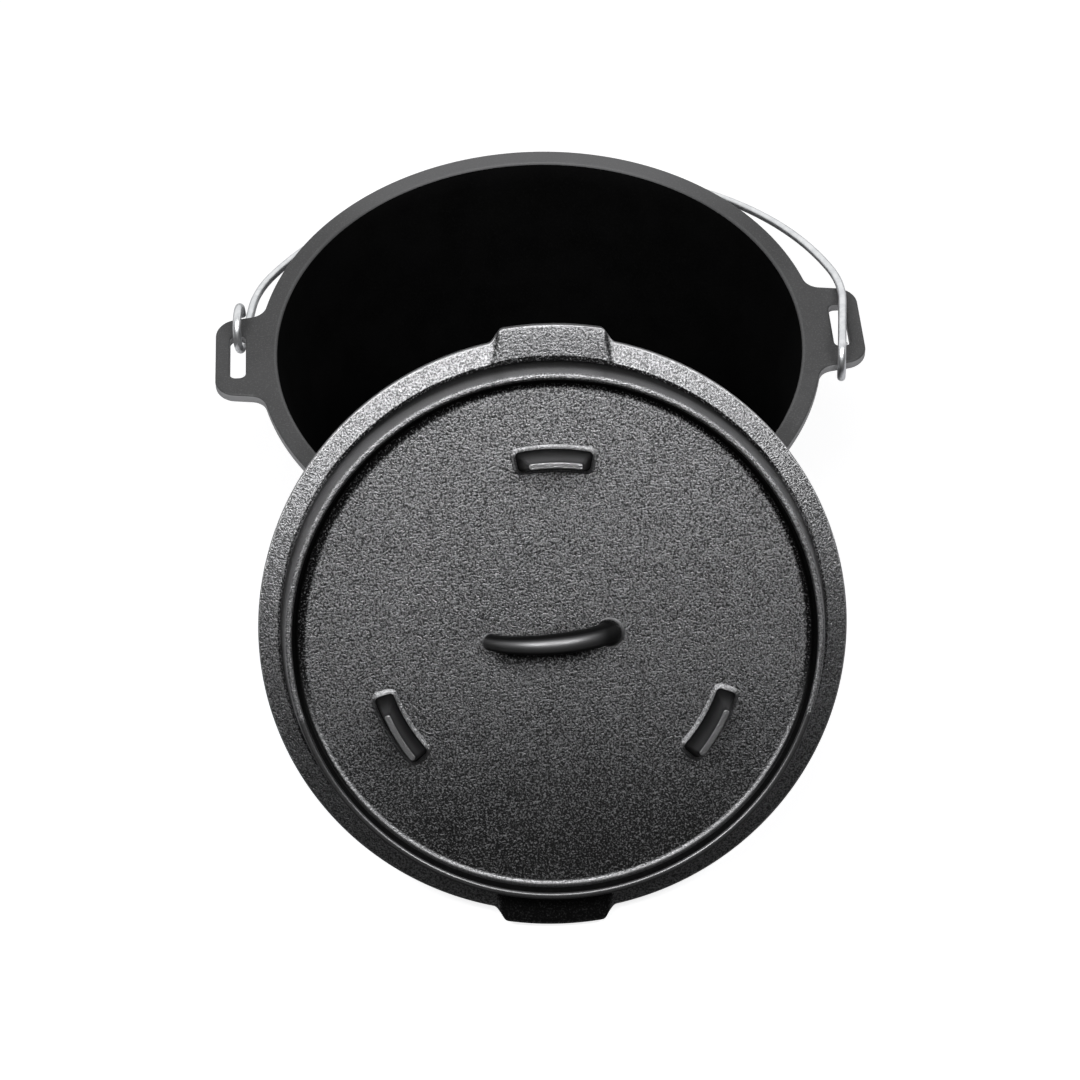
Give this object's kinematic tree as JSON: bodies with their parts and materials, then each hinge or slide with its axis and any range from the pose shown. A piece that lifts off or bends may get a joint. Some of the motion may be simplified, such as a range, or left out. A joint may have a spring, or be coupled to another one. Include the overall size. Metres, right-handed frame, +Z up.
{
  "type": "camp dutch oven",
  "caption": "Cast-iron camp oven on short legs: a tapered pot with slotted ears and a hooked wire bail, and a flanged lid with feet and a loop handle leaning on its rim.",
  "frame": {"origin": "centre of the pot's flat underside, with the legs reaching below it", "axes": "+Z up out of the mouth, X along the line of the two ears, -Y towards the leaning lid"},
  "size_m": [0.3694, 0.4592, 0.2676],
  "materials": {
    "pot_iron": "seasoned cast iron, matte",
    "lid_iron": "seasoned cast iron with a coarse cast grain",
    "bail_zinc": "bright zinc-plated wire"
  },
  "bodies": {
    "pot": {"pot": "pot_iron"},
    "lid": {"lid": "lid_iron"},
    "bail": {"bail": "bail_zinc"}
  },
  "joints": [
    {"name": "bail_swing", "type": "hinge", "parent": "pot", "child": "bail", "pos_m": [0, 0, 0.1585], "axis": [0.9905, -0.1373, 0], "range_deg": [0, 135]},
    {"name": "lid_lift", "type": "slide", "parent": "pot", "child": "lid", "axis": [0, -0.788, 0.6157], "range_m": [0, 0.15]}
  ]
}
